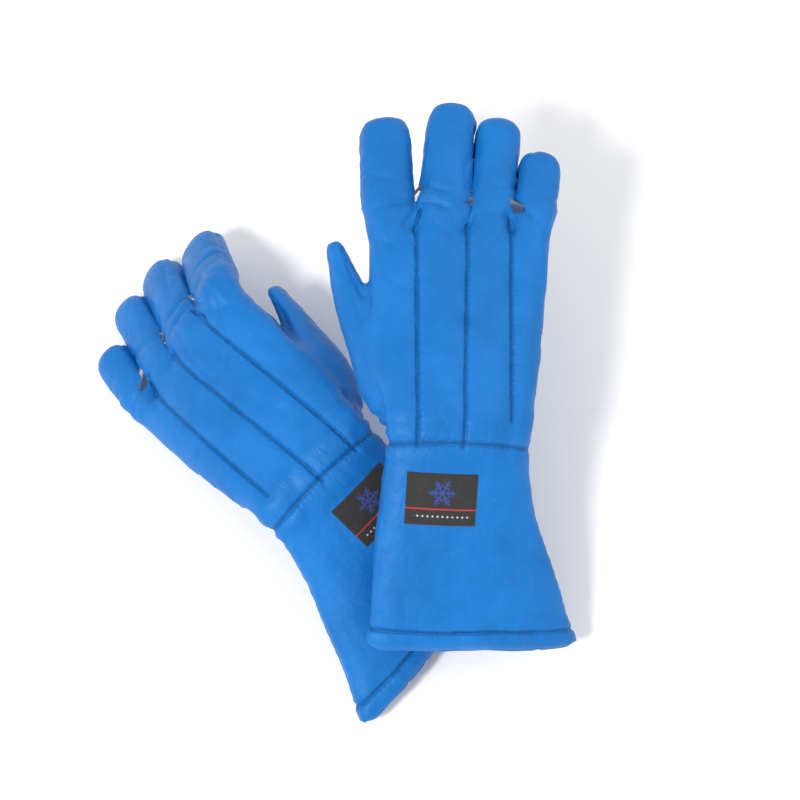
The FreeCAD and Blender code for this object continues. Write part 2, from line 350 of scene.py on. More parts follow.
def finger_shares(points):
    """How much of each point belongs to each finger; the shares add up to 1."""
    reach = []
    for name, (_, root, tip, length, _) in FINGERS.items():
        p = finger_space(points, name)
        half = root + (tip - root) * smooth_step(p[:, 1], 0, length)
        reach.append(np.abs(p[:, 0]) / half)
    reach = np.array(reach)
    shares = np.exp(-(reach - reach.min(0)) / 0.10)
    return dict(zip(FINGERS, shares / shares.sum(0)))


def filled_out(points):
    """The remesh rounds thin forms away; the fingers are widened again from their webs on."""
    shares = finger_shares(points)
    on_hand = 1 - thumb_share(points)
    out = points.copy()
    for name, (_, _, _, _, fan) in FINGERS.items():
        p = finger_space(points, name)
        more = smooth_step(p[:, 1], -0.004, 0.020) * shares[name] * on_hand
        grown = p * np.stack([0.21 * more, 0 * more, 0.06 * more], 1)
        out += grown @ turn("Z", fan).T
    return out


def clear_of_webs(points):
    """Inner layers stand further in beside the webs, where the fingers close up against each other."""
    shares = finger_shares(points)
    on_hand = 1 - thumb_share(points)
    out = points.copy()
    for name, (_, _, _, _, fan) in FINGERS.items():
        p = finger_space(points, name)
        drawn = -0.30 * np.exp(-((p[:, 1] - 0.008) / 0.017) ** 2) * shares[name] * on_hand
        out += (p * np.stack([drawn, 0 * drawn, 0 * drawn], 1)) @ turn("Z", fan).T
    return out


def thumb_space(points):
    return (points - THUMB["root"]) @ thumb_matrix()


def thumb_share(points):
    p = thumb_space(points)
    reach = np.hypot(p[:, 0] / THUMB["half_width"], p[:, 2] / THUMB["half_thickness"])
    reach /= 1 - 0.5 * np.clip(p[:, 1] / THUMB["length"], 0, 1)
    past_end = smooth_step(p[:, 1], THUMB["length"] + 0.006, THUMB["length"] + 0.020)
    return (1 - smooth_step(reach, 1.15, 1.7)) * smooth_step(p[:, 1], -0.014, 0.010) * (1 - past_end)


def thumb_free(points):
    """How far past the crotch a point of the thumb is, out and forward."""
    return 0.6 * -points[:, 0] + 0.8 * points[:, 1] - 0.108


def seam_fields(points):
    """Distance to the nearest sewn line, and the distance along that line, for every point."""
    back = back_side(points)
    near, along = np.full(len(points), 1.0), points[:, 1].copy()

    def join(d, a):
        nonlocal near, along
        along = np.where(d < near, a, along)
        near = np.minimum(near, d)

    for a, b in BACK_SEAMS:
        d, _ = line_distance(points, a, b)
        join(d + 0.02 * (1 - back), points[:, 1])
    on_body = 1 - thumb_share(points)
    arch = WRIST_ARCH * (1 - (points[:, 0] / 0.048) ** 2) * back
    join(np.abs(points[:, 1] - arch) + 0.03 * (1 - on_body), points[:, 0])
    join(side_distance(points) + 0.02 * (1 - on_body), points[:, 1] + 0.31)
    p = thumb_space(points)
    edge = np.abs(p[:, 2]) + np.maximum(0, 0.009 - np.abs(p[:, 0])) * 2
    join(np.where(on_body < 0.5, edge, 1.0), p[:, 1] + 0.53)
    for number, name in enumerate(FINGERS):
        p = finger_space(points, name)
        _, root, _, _, _ = FINGERS[name]
        edge = np.abs(p[:, 2] + 0.001) + np.maximum(0, root * 0.62 - np.abs(p[:, 0])) * 2
        join(np.where(p[:, 1] > 0.016, edge, 1.0), p[:, 1] + number + 1.7)
    return near, along


# creases across a finger's root: distance past the knuckle, width, depth and slant
ROOT_CREASES = {"index": ((0.012, 0.0022, 0.0017, 0.25), (0.030, 0.0024, 0.0012, -0.35)),
                "middle": ((0.010, 0.0022, 0.0022, -0.30), (0.022, 0.0020, 0.0017, -0.18)),
                "ring": ((0.007, 0.0020, 0.0016, 0.12), (0.026, 0.0022, 0.0013, 0.40)),
                "little": ((0.002, 0.0026, 0.0022, -0.60), (0.016, 0.0020, 0.0009, 0.25))}


def hem_line(points):
    """Height above the hem's row of stitches, which wanders a little."""
    wander = value_noise(np.stack([points[:, 0], points[:, 0] * 0, points[:, 2]], 1), 0.021, 5) * 0.0009
    return points[:, 1] - (-CUFF + HEM_BAND + wander)


def bell(distance, width):
    return np.exp(-(distance / width) ** 2)


def seam_depth(points, seed):
    """Seams draw the padding in, and the cloth puckers beside them."""
    near, along = seam_fields(points)
    ripple = value_noise(np.stack([along, near * 0, points[:, 2] * 0.2], 1), 0.0062, seed)
    drawn_in = -0.0012 * bell(near, 0.0044) - 0.0006 * bell(near, 0.0018)
    return drawn_in + 0.00055 * ripple * np.exp(-near / 0.0055) * (1 - bell(near, 0.0016))


def slack_depth(points, seed):
    """Broad slack folds, longer along the glove than across it, and a few slanting creases."""
    x, y, z = points.T
    slack = np.stack([x, y * 0.45, z * 0.6], 1)
    folds = 0.0011 * value_noise(slack, 0.024, seed + 1) + 0.00040 * value_noise(slack, 0.0095, seed + 2)
    skewed = np.stack([x + 0.55 * y, 0.35 * y - 0.2 * x, z], 1)
    crease = np.abs(value_noise(skewed, 0.027, seed + 3))
    here = smooth_step(value_noise(points, 0.05, seed + 4), -0.1, 0.5)
    return folds - 0.0009 * bell(crease, 0.075) * here


def root_crease_depth(points, seed):
    """Creases across the finger roots, deepest on one side of the finger and on its back."""
    depth = np.zeros(len(points))
    shares = finger_shares(points)
    deeper = 0.35 + 0.65 * back_side(points)
    for number, name in enumerate(FINGERS):
        p = finger_space(points, name)
        wander = 0.0022 * value_noise(points + number, 0.017, seed + 5)
        for at, width, drop, slant in ROOT_CREASES[name]:
            line = bell(p[:, 1] - at - wander - slant * p[:, 0], width)
            one_side = 0.25 + 0.75 * smooth_step(np.sign(slant) * p[:, 0], -0.009, 0.005)
            depth -= drop * line * one_side * shares[name] * deeper
    return depth


def wrist_fold_depth(points, seed, wrist_bend):
    """Folds where the wrist bends, gathered on the palm's side."""
    x, y, _ = points.T
    uneven = 0.25 * np.abs(x) * value_noise(points, 0.03, seed + 6)
    waves = np.sin((y + uneven) * 2 * np.pi / WRIST_FOLD_PITCH)
    height = 0.0015 * (1 - back_side(points)) + 0.0004 * back_side(points)
    return wrist_bend / FULL_FOLD_BEND * waves * bell(y - PIVOT, 0.020) * height


def hem_depth(points, seed):
    """The turned hem: a row of stitches with puckers, and a soft band below it."""
    x, y, z = points.T
    above = hem_line(points)
    pucker = value_noise(np.stack([x, above * 0.4, z], 1), 0.0075, seed + 7)
    row = -0.0012 * bell(above, 0.0015) + 0.0008 * pucker * np.exp(-np.abs(above) / 0.006)
    band = np.clip(1 - ((above + HEM_BAND / 2) / (HEM_BAND / 2)) ** 2, 0, 1)
    slanting = np.stack([x + 0.7 * y, y * 0.2, z], 1)
    return row + band * (0.0007 + 0.0009 * value_noise(slanting, 0.011, seed + 8))


def detail_depth(points, glove):
    """How far each point of the refined pattern is raised: seams, puckers, folds and creases."""
    seed = DETAIL_SEEDS[glove]
    return (seam_depth(points, seed) + slack_depth(points, seed) + root_crease_depth(points, seed)
            + wrist_fold_depth(points, seed, GLOVES[glove]["wrist_bend"]) + hem_depth(points, seed))


# ---- laying a glove

def bend_fingers(points, pose):
    """Each finger closes up from the flat pattern's fan and bends at the knuckles."""
    shares = finger_shares(points)
    out = np.zeros_like(points)
    close = smooth_step(points[:, 1], KNUCKLE - 0.012, KNUCKLE + 0.006)
    fold = smooth_step(points[:, 1], KNUCKLE - 0.012, KNUCKLE + 0.016)
    for number, (name, (centre, _, _, _, fan)) in enumerate(FINGERS.items()):
        p = points - (centre, KNUCKLE, 0)
        p = turned_by(p, "Z", close * (pose["finger_spread"][number] - fan))
        p = turned_by(p, "X", -fold * pose["finger_bend"][number])
        out += (p + (centre, KNUCKLE, 0)) * shares[name][:, None]
    return out


def bend_thumb(points, pose):
    share = thumb_share(points)
    p = thumb_space(points)
    fold = smooth_step(p[:, 1], 0.010, 0.055) * share
    p = turned_by(p, "X", -fold * pose["thumb_bend"])
    return p @ thumb_matrix().T + THUMB["root"]


def lay(points, glove):
    """From the flat pattern to where that glove lies in the frame."""
    pose = GLOVES[glove]
    hem, wrist, knuckle = pose["thumb_up"]
    share = thumb_share(points)
    height = points[:, 1] * (1 - share) + THUMB["root"][1] * share
    p = np.where(share[:, None] > 0.02, bend_thumb(points, pose), bend_fingers(points, pose))
    roll = np.where(height < 0, (hem - wrist) * np.clip(-height / CUFF, 0, 1.1),
                    (knuckle - wrist) * np.clip(height / KNUCKLE, 0, 1))
    p = turned_by(p, "Y", roll)
    fold = smooth_step(height, PIVOT - WRIST_REACH, PIVOT + WRIST_REACH)
    p = turned_by(p - (0, PIVOT, 0), "X", -pose["wrist_bend"] * fold)
    p = p + (0, PIVOT, 0)
    to_bench = turn("Z", pose["yaw"]) @ turn("X", pose["pitch"])
    mirror = np.diag([pose["side"], 1, 1])
    whole = to_bench @ mirror @ turn("Y", wrist)
    pivot = next(j["pos_m"] for j in frame["joints"] if j["name"] == glove + "_wrist_bend")
    return (p - (0, PIVOT, 0)) @ whole.T + np.array(pivot)


def lay_point(x, y, z, glove):
    return lay(np.array([[x, y, z]], float), glove)[0]


# ---- pieces of the laid glove

REGION_BODIES = {"gauntlet": ("cuff", "hand"), "palm": ("hand",), "thumb": ("hand", "thumb"),
                 **{name: ("hand", name) for name in FINGERS}}


# where the pattern is cut into pieces, and the stretch of each piece between its two bodies
GAUNTLET_CUT = 0.036
GAUNTLET_BLEND = (-0.012, 0.033)
FINGER_CUT = 0.011      # past the knuckle
FINGER_BLEND = (0.012, 0.036)
THUMB_BLEND = (0.040, 0.078)


def face_regions(flat, faces):
    """Which piece each face of the pattern goes to. Cuts lie where the bodies on both sides agree."""
    middles = np.array([flat[list(f)].mean(0) for f in faces])
    shares = finger_shares(middles)
    names = list(FINGERS)
    nearest = np.argmax([shares[n] for n in names], axis=0)
    thumb = (thumb_share(middles) > 0.3) & (thumb_free(middles) > 0)
    out = []
    for m, n, is_thumb in zip(middles, nearest, thumb):
        if is_thumb:
            out.append("thumb")
        elif m[1] < GAUNTLET_CUT:
            out.append("gauntlet")
        elif m[1] > KNUCKLE + FINGER_CUT:
            out.append(names[n])
        else:
            out.append("palm")
    return np.array(out)


def hold_between(obj, region, glove):
    """The piece follows its body. A piece between two bodies only has its transform baked where it lies: the
    stretch where it would bend is worked out but not used.
    """
    bodies = [f"{glove}_{b}" for b in REGION_BODIES[region]]
    if len(bodies) == 1:
        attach(obj, bodies[0])
        return
    if region == "gauntlet":
        start, end = (lay_point(0, y, 0, glove) for y in GAUNTLET_BLEND)
    elif region == "thumb":
        root = np.array(THUMB["root"])
        start, end = (lay_point(*(root + thumb_matrix() @ (0, y, 0)), glove) for y in THUMB_BLEND)
    else:
        centre, _, _, _, fan = FINGERS[region]
        way = turn("Z", fan) @ (0, 1, 0)
        start, end = (lay_point(*((centre, KNUCKLE, 0) + way * y), glove) for y in FINGER_BLEND)
    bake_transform(obj)


def cut_piece(name, laid, flat, vertex_normals, faces, chosen, fields):
    """A region of the laid glove as its own object, shaded as the whole glove is."""
    kept = [faces[i] for i in np.nonzero(chosen)[0]]
    used = sorted({v for f in kept for v in f})
    index = {v: i for i, v in enumerate(used)}
    obj = mesh_object(name, laid[used], [tuple(index[v] for v in f) for f in kept])
    smooth_shaded(obj)
    obj.data.normals_split_custom_set_from_vertices([tuple(n) for n in vertex_normals[used]])
    add_field(obj, "cloth_at", flat[used])
    for key, values in fields.items():
        add_field(obj, key, values[used])
    return obj


def add_field(obj, name, values):
    """A field of the cloth that its material reads: one number or one vector at each point."""
    vector = values.ndim == 2
    attribute = obj.data.attributes.new(name, "FLOAT_VECTOR" if vector else "FLOAT", "POINT")
    attribute.data.foreach_set("vector" if vector else "value", np.asarray(values, np.float32).ravel())


# ---- the flat pattern, made once

def make_pattern():
    """The swollen, refined pattern with an open hem, and the coarse one that its inner layers come from."""
    coarse = flat_forms()
    apply_modifier(coarse, "REMESH", mode="VOXEL", voxel_size=VOXEL)
    apply_modifier(coarse, "SMOOTH", factor=0.5, iterations=8)
    set_coords(coarse, filled_out(coords(coarse)))
    swell(coarse)
    open_hem(coarse, -CUFF + 0.0012)
    fine = coarse.copy()
    fine.data = coarse.data.copy()
    bpy.context.scene.collection.objects.link(fine)
    apply_modifier(fine, "SUBSURF", levels=1, render_levels=1)
    return coarse, fine


def faces_of(obj, side=1):
    """Its faces as vertex lists, turned over for a mirrored glove."""
    return [tuple(p.vertices)[::side] for p in obj.data.polygons]


def rim_loop(obj):
    """The open hem's points in order around the mouth."""
    edges = {}
    mesh = bmesh.new()
    mesh.from_mesh(obj.data)
    for e in mesh.edges:
        if e.is_boundary:
            a, b = (v.index for v in e.verts)
            edges.setdefault(a, []).append(b)
            edges.setdefault(b, []).append(a)
    mesh.free()
    start = min(edges)
    order, last = [start], None
    while True:
        following = [v for v in edges[order[-1]] if v != last]
        last = order[-1]
        if following[0] == start or len(order) > len(edges):
            break
        order.append(following[0])
    return order


def detailed(fine, glove):
    """The fine pattern's points with that glove's own seams, puckers and folds."""
    points, away = coords(fine), normals(fine)
    raised = points + away * detail_depth(points, glove)[:, None]
    at_edge = 1 - smooth_step(points[:, 1], -CUFF, -CUFF + 0.014)
    raised[:, 1] += at_edge * 0.0013 * value_noise(points * (1, 0, 1), 0.026, 15)
    return raised, points


def laid_normals(points, faces):
    scratch = mesh_object("scratch", points, faces)
    out = normals(scratch)
    bpy.data.meshes.remove(scratch.data)
    return out


# ---- the pieces

def make_skin(glove, fine):
    """The outer nylon of one glove, in seven pieces that meet without a visible line."""
    side = GLOVES[glove]["side"]
    raised, flat = detailed(fine, glove)
    laid = lay(raised, glove)
    faces = faces_of(fine, side)
    vertex_normals = laid_normals(laid, faces)
    fields = {"seam_near": seam_fields(flat)[0], "above_hem": hem_line(flat)}
    regions = face_regions(flat, faces_of(fine))
    for region in REGION_BODIES:
        piece = cut_piece(f"{glove}_{region}_nylon", laid, flat, vertex_normals, faces, regions == region,
                          fields)
        piece.data.materials.append(MATERIALS["nylon"])
        hold_between(piece, region, glove)
        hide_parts(*shell_nodes(glove, region))
    return raised


def shell_nodes(glove, region):
    if region == "gauntlet":
        return [f"{glove}_cuff_back_panel", f"{glove}_cuff_palm_panel"]
    if region == "palm":
        return [f"{glove}_palm_shell"] + [f"{glove}_{n}_back_strip" for n in FINGERS]
    return [f"{glove}_{region}_shell"]


# inner layer, how deep its outer face lies under the nylon's, and its slot
INNER_LAYERS = (("insulation", SHELL + 0.0012, "batting"), ("lining", SHELL + BATTING + 0.0006, "lining"))


def make_inner_layers(glove, coarse):
    """Batting and lining: the coarse pattern drawn in by the layers outside each."""
    side = GLOVES[glove]["side"]
    points, away = coords(coarse), normals(coarse)
    faces = faces_of(coarse, side)
    regions = face_regions(points, faces_of(coarse))
    for layer, depth, slot in INNER_LAYERS:
        uneven = value_noise(points, 0.010, 71) * 0.00035
        at_web = np.exp(-((points[:, 1] - KNUCKLE - 0.006) / 0.014) ** 2)
        pressed = np.minimum(detail_depth(points, glove), 0) - 0.0009 - 0.0014 * at_web
        flat = points + away * (pressed + uneven - depth)[:, None]
        laid = lay(clear_of_webs(flat), glove)
        inner_normals = laid_normals(laid, faces)
        for region in REGION_BODIES:
            piece = cut_piece(f"{glove}_{region}_{layer}", laid, points, inner_normals, faces,
                              regions == region, {})
            piece.data.materials.append(MATERIALS[slot])
            hold_between(piece, region, glove)
            body = {"gauntlet": "cuff", "palm": "hand"}.get(region, region)
            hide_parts(f"{glove}_{body}_{layer}")


RIM_ROWS = [(0.0, 0.0), (0.0003, -0.0007), (0.0010, -0.0013), (0.0020, -0.0013), (0.0028, -0.0007),
            (0.0033, 0.0008), (0.0040, 0.0040), (0.0049, 0.0085), (0.0058, 0.0130), (0.0064, 0.0155)]


def make_hem(glove, fine, raised):
    """The turned-in hem: it rolls over the edge and faces the inside of the cuff, past the lining's edge."""
    order = rim_loop(fine)
    ring = raised[order]
    along = np.roll(ring, -2, 0) - np.roll(ring, 2, 0)
    inward = np.stack([along[:, 2], np.zeros(len(ring)), -along[:, 0]], 1)
    inward /= np.linalg.norm(inward, axis=1, keepdims=True)
    if ((ring.mean(0) - ring) * inward).sum() < 0:
        inward = -inward
    for _ in range(4):
        inward = (np.roll(inward, 1, 0) + inward * 2 + np.roll(inward, -1, 0)) / 4
    rows = []
    for number, (depth, up) in enumerate(RIM_ROWS):
        ripple = value_noise(ring * (1, 0, 1) + (0, up * 0.5, 0), 0.009, 91) * 0.0008 * min(1, number / 5)
        rows.append(ring + inward * (depth + ripple)[:, None] + (0, up, 0))
    count = len(ring)
    faces = []
    for low in range(0, (len(rows) - 1) * count, count):
        for i in range(count):
            j = (i + 1) % count
            faces.append((low + i, low + j, low + count + j, low + count + i))
    flat = np.concatenate(rows)
    laid = lay(flat, glove)
    obj = mesh_object(f"{glove}_hem_facing_nylon", laid, faces)
    mesh = bmesh.new()
    mesh.from_mesh(obj.data)
    bmesh.ops.recalc_face_normals(mesh, faces=mesh.faces)
    middle = laid[:count].mean(0)
    first = max(mesh.faces, key=lambda f: (f.calc_center_median() - Vector(middle)).length)
    if first.normal.dot(first.calc_center_median() - Vector(middle)) < 0:
        bmesh.ops.reverse_faces(mesh, faces=mesh.faces)
    mesh.to_mesh(obj.data)
    mesh.free()
    smooth_shaded(obj)
    add_field(obj, "cloth_at", flat)
    add_field(obj, "seam_near", np.full(len(flat), 1.0))
    add_field(obj, "above_hem", np.full(len(flat), 1.0))
    obj.data.materials.append(MATERIALS["nylon"])
    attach(obj, glove + "_cuff")
    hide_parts(f"{glove}_hem_facing")


LABEL = dict(width=0.046, height=0.0345, x=-0.0115, top=-0.0145, thick=0.0009, line_up=0.011)


def surface_tree(points, obj):
    return BVHTree.FromPolygons([tuple(p) for p in points], [tuple(p.vertices) for p in obj.data.polygons])


def frame_cells(down, across, inset):
    """The cells of a grid in order around its edge, that many cells in from it."""
    top, left, bottom, right = inset, inset, down - 1 - inset, across - 1 - inset
    return [*((top, c) for c in range(left, right + 1)), *((r, right) for r in range(top + 1, bottom + 1)),
            *((bottom, c) for c in range(right - 1, left - 1, -1)),
            *((r, left) for r in range(bottom - 1, top, -1))]


def make_label(glove, tree):
    """The woven label, sewn on the back of the cuff, that follows the cloth under it."""
    across, down = 60, 45
    x = np.linspace(-0.5, 0.5, across) * LABEL["width"] + LABEL["x"]
    y = LABEL["top"] - np.linspace(0, 1, down) * LABEL["height"]
    heights = np.zeros((down, across))
    for r in range(down):
        for c in range(across):
            hit = tree.ray_cast(Vector((x[c], y[r], 0.08)), Vector((0, 0, -1)))[0]
            heights[r, c] = hit.z
    for _ in range(6):
        padded = np.pad(heights, 1, mode="edge")
        around = padded[:-2, 1:-1] + padded[2:, 1:-1] + padded[1:-1, :-2] + padded[1:-1, 2:]
        heights = (around + heights * 4) / 8
    u, v = np.meshgrid(np.linspace(0, 1, across), np.linspace(0, 1, down))
    edge = np.minimum(np.minimum(u, 1 - u) * LABEL["width"], np.minimum(v, 1 - v) * LABEL["height"])
    lift = LABEL["thick"] * smooth_step(edge, -0.0002, 0.0009) - 0.0002
    grid = np.stack([np.broadcast_to(x, u.shape), np.broadcast_to(y[:, None], u.shape), heights + lift], 2)
    under = grid - (0, 0, LABEL["thick"] + 0.0002)
    flat = np.concatenate([grid.reshape(-1, 3), under.reshape(-1, 3)])
    size = across * down
    faces = []
    for r in range(down - 1):
        for c in range(across - 1):
            i = r * across + c
            quad = (i, i + across, i + across + 1, i + 1)
            faces += [quad, tuple(size + k for k in quad[::-1])]
    border = [r * across + c for r, c in frame_cells(down, across, 0)]
    for a, b in zip(border, border[1:] + border[:1]):
        faces.append((a, b, size + b, size + a))
    faces = [f[::GLOVES[glove]["side"]] for f in faces]
    obj = mesh_object(f"{glove}_label_weave", lay(flat, glove), faces)
    smooth_shaded(obj)
    cell = np.stack([u, 1 - v, np.zeros_like(u)], 2).reshape(-1, 3)
    add_field(obj, "label_at", np.concatenate([cell, cell]))
    obj.data.materials.append(MATERIALS["label"])
    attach(obj, glove + "_cuff")
    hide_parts(f"{glove}_label_patch", f"{glove}_label_line")
    cells = frame_cells(down, across, 2)
    outline = np.array([grid[r, c] for r, c in cells + cells[:1]])
    make_stitches(f"{glove}_label_stitches", outline, glove, 0.0019, 0.00022, MATERIALS["label_thread"])


# along one stitch: how far it stands off the cloth and how thick it is, in radii
STITCH_SHAPE = ((-0.9, 0.55), (0.2, 0.95), (0.7, 1.0), (0.2, 0.95), (-0.9, 0.55))


def make_stitches(name, path, glove, pitch, radius, material, lift=0.0):
    """A row of lock stitches along a path on the cloth: each a short thread that dips in at both ends."""
    steps = np.linalg.norm(np.diff(path, axis=0), axis=1)
    length = np.concatenate([[0], np.cumsum(steps)])
    count = int(length[-1] / pitch)
    middle = path.mean(0)
    points, faces = [], []
    sides = 6
    for i in range(count):
        s = (i + np.array([0.12, 0.24, 0.5, 0.76, 0.88])) * pitch
        spine = np.stack([np.interp(s, length, path[:, k]) for k in range(3)], 1)
        way = spine[-1] - spine[0]
        way /= np.linalg.norm(way)
        upward = spine[2, 2] >= middle[2] or name.endswith("label_stitches")
        beside = np.cross(way, (0.0, 0.0, 1.0 if upward else -1.0))
        beside /= np.linalg.norm(beside)
        out = np.cross(beside, way)
        for k, (arch, thick) in enumerate(STITCH_SHAPE):
            for a in np.linspace(0, 2 * np.pi, sides, endpoint=False):
                ring = beside * math.cos(a) + out * math.sin(a)
                points.append(spine[k] + out * (lift + arch * radius) + ring * radius * thick)
        base = i * 5 * sides
        for k in range(4):
            for j in range(sides):
                m = (j + 1) % sides
                faces.append((base + k * sides + j, base + k * sides + m,
                              base + (k + 1) * sides + m, base + (k + 1) * sides + j))
        faces.append(tuple(base + j for j in range(sides))[::-1])
        faces.append(tuple(base + 4 * sides + j for j in range(sides)))
    faces = [f[::-GLOVES[glove]["side"]] for f in faces]
    obj = mesh_object(name, lay(np.array(points), glove), faces)
    smooth_shaded(obj)
    obj.data.materials.append(material)
    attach(obj, glove + "_cuff")


def make_hem_stitches(glove, tree):
    """The row of stitches that holds the hem, on the back and the palm of the cuff."""
    for face, way in (("back", 1), ("palm", -1)):
        path = []
        for x in np.linspace(-0.047, 0.087, 200):
            y = -CUFF + HEM_BAND
            y -= hem_line(np.array([[x, y, way * 0.012]]))[0]
            hit = tree.ray_cast(Vector((x, y, 0.08 * way)), Vector((0, 0, -way)))[0]
            if hit is not None:
                path.append(hit)
        make_stitches(f"{glove}_hem_{face}_stitches", np.array(path), glove, 0.0026, 0.00024,
                      MATERIALS["thread"], lift=0.0001)


# ---- shared shader groups: each puts out only values and colours

class Nodes:
    """A short way to write a node tree."""

    def __init__(self, tree):
        self.tree = tree

    def add(self, kind, inputs=(), **settings):
        node = self.tree.nodes.new(kind)
        for key, value in settings.items():
            setattr(node, key, value)
        for key, value in dict(inputs).items():
            if isinstance(value, bpy.types.NodeSocket):
                self.tree.links.new(value, node.inputs[key])
            else:
                node.inputs[key].default_value = value
        return node

    def math(self, operation, *values):
        return self.add("ShaderNodeMath", dict(enumerate(values)), operation=operation).outputs[0]

    def vector(self, operation, a, b):
        return self.add("ShaderNodeVectorMath", {0: a, 1: b}, operation=operation).outputs

    def noise(self, place, scale, detail, rough=0.5):
        inputs = {"Vector": place, "Scale": scale, "Detail": detail, "Roughness": rough}
        return self.add("ShaderNodeTexNoise", inputs)

    def times(self, a, b):
        return self.math("MULTIPLY", a, b)

    def plus(self, a, b):
        return self.math("ADD", a, b)

    def minus(self, a, b):
        return self.math("SUBTRACT", a, b)

    def mix(self, share, a, b):
        node = self.add("ShaderNodeMix", {0: share, 6: a, 7: b}, data_type="RGBA")
        return node.outputs[2]

    def fade(self, value, low, high, at_low=0.0, at_high=1.0):
        inputs = {0: value, 1: low, 2: high, 3: at_low, 4: at_high}
        return self.add("ShaderNodeMapRange", inputs, interpolation_type="SMOOTHSTEP").outputs[0]


def shader_group(name, inputs, outputs, build):
    """A named group. inputs are {socket name: (kind, default)} and outputs {socket name: kind};
    build(nodes, input sockets) gives the outputs."""
    tree = bpy.data.node_groups.new(name, "ShaderNodeTree")
    for key, (kind, default) in inputs.items():
        socket = tree.interface.new_socket(name=key, in_out="INPUT", socket_type=kind)
        if default is not None:
            socket.default_value = default
    for key, kind in outputs.items():
        tree.interface.new_socket(name=key, in_out="OUTPUT", socket_type=kind)
    nodes = Nodes(tree)
    entry = nodes.add("NodeGroupInput")
    leave = nodes.add("NodeGroupOutput")
    for key, socket in build(nodes, entry.outputs).items():
        tree.links.new(socket, leave.inputs[key])
    return tree


def plain_weave(nodes, given):
    """Over-and-under threads at a given pitch, with threads a little uneven."""
    apart = nodes.add("ShaderNodeSeparateXYZ", {0: given["Cloth"]})
    noise = nodes.noise(given["Cloth"], 900.0, 1.0)
    turn_rate = nodes.math("DIVIDE", math.pi, given["Pitch"])
    waves = []
    for axis in ("X", "Y"):
        angle = nodes.times(apart.outputs[axis], turn_rate)
        angle = nodes.plus(angle, nodes.times(noise.outputs[0], 1.2))
        waves.append(nodes.math("SINE", angle))
    crossed = nodes.times(waves[0], waves[1])
    rounded = nodes.plus(nodes.math("ABSOLUTE", waves[0]), nodes.math("ABSOLUTE", waves[1]))
    height = nodes.plus(nodes.times(rounded, 0.3), nodes.times(crossed, 0.4))
    over = nodes.fade(crossed, -0.15, 0.15)
    return {"Height": height, "Over": over}


def sewn_line(nodes, given):
    """How far the cloth is from a straight line sewn in its plane, and how far along that line."""
    way = nodes.vector("SUBTRACT", given["End"], given["Start"])[0]
    off = nodes.vector("SUBTRACT", given["Cloth"], given["Start"])[0]
    off = nodes.vector("MULTIPLY", off, (1.0, 1.0, 0.0))[0]
    ahead = nodes.vector("DOT_PRODUCT", off, way)["Value"]
    whole = nodes.vector("DOT_PRODUCT", way, way)["Value"]
    share = nodes.add("ShaderNodeMath", {0: ahead, 1: whole}, operation="DIVIDE", use_clamp=True).outputs[0]
    foot = nodes.add("ShaderNodeVectorMath", {0: way, "Scale": share}, operation="SCALE").outputs[0]
    apart = nodes.vector("DISTANCE", off, foot)["Value"]
    return {"Distance": apart, "Along": nodes.times(share, nodes.math("SQRT", whole))}


def seam_puckers(nodes, given):
    """A seam seen close: a thin fold with painted shade in it, pulled in at each stitch, with cloth gathered
    beside it. Fold is the mask of that painted shade.
    """
    # painted shade: a thin line along the seam, where shade falls into its fold
    fold = nodes.fade(given["Distance"], 0.0001, given["Width"], 1.0, 0.0)
    turn_rate = nodes.math("DIVIDE", 2 * math.pi, given["Stitch"])
    beat = nodes.math("SINE", nodes.times(given["Along"], turn_rate))
    beside = nodes.times(nodes.fade(given["Distance"], 0.0002, 0.0012),
                        nodes.fade(given["Distance"], 0.0014, 0.0050, 1.0, 0.0))
    gathered = nodes.times(nodes.times(beat, 0.06), beside)
    drop = nodes.times(nodes.fade(given["Distance"], 0.0, 0.0022, 1.0, 0.0), -1.0)
    return {"Height": nodes.plus(drop, gathered), "Fold": fold}


def slack_cloth(nodes, given):
    """Small slack in a cloth: shallow dents that run with the threads, finer ones near a seam."""
    stretched = nodes.add("ShaderNodeMapping", {"Vector": given["Cloth"], "Scale": (1.0, 0.55, 0.8)})
    broad = nodes.noise(stretched.outputs[0], 85.0, 3.0, 0.5)
    fine = nodes.noise(given["Cloth"], 330.0, 2.0)
    close = nodes.fade(given["Seam"], 0.0, 0.009, 1.0, 0.25)
    height = nodes.plus(broad.outputs[0], nodes.times(fine.outputs[0],
                                                            nodes.times(close, 0.30)))
    return {"Height": height, "Broad": broad.outputs[0]}


def worn_tone_and_seam_shade(nodes, given):
    """A dyed cloth's colour: uneven dye, painted shade in the seam, rubbed paler beside it."""
    patches = nodes.noise(given["Cloth"], 26.0, 4.0, 0.55)
    share = nodes.fade(patches.outputs[0], 0.3, 0.7)
    toned = nodes.mix(share, given["Deep"], given["Pale"])
    rub_noise = nodes.noise(given["Cloth"], 210.0, 3.0)
    ridge = nodes.times(nodes.fade(given["Seam"], 0.0012, 0.0026),
                       nodes.fade(given["Seam"], 0.0028, 0.0062, 1.0, 0.0))
    rubbed = nodes.times(ridge, nodes.fade(rub_noise.outputs[0], 0.45, 0.7))
    toned = nodes.mix(nodes.times(rubbed, given["Rub"]), toned, given["Pale"])
    # painted shade: the seam's line is mixed towards the Shade colour, as much as Seam Dark says
    in_seam = nodes.fade(given["Seam"], 0.0002, 0.0016, 1.0, 0.0)
    return {"Colour": nodes.mix(nodes.times(in_seam, given["Seam Dark"]), toned, given["Shade"]),
            "Rubbed": rubbed}


def stray_fibres(nodes, given):
    """Fine fibres and lint that lie every way over a cloth."""
    warped = nodes.noise(given["Cloth"], 60.0, 2.0)
    bent = nodes.vector("MULTIPLY", given["Cloth"], warped.outputs[1])[0]
    cells = nodes.add("ShaderNodeTexVoronoi", {"Vector": bent, "Scale": given["Density"]},
                      feature="DISTANCE_TO_EDGE")
    line = nodes.fade(cells.outputs["Distance"], 0.0, 0.05, 1.0, 0.0)
    some = nodes.noise(given["Cloth"], 140.0, 1.0)
    return {"Mask": nodes.times(line, nodes.fade(some.outputs[0], 0.5, 0.72))}


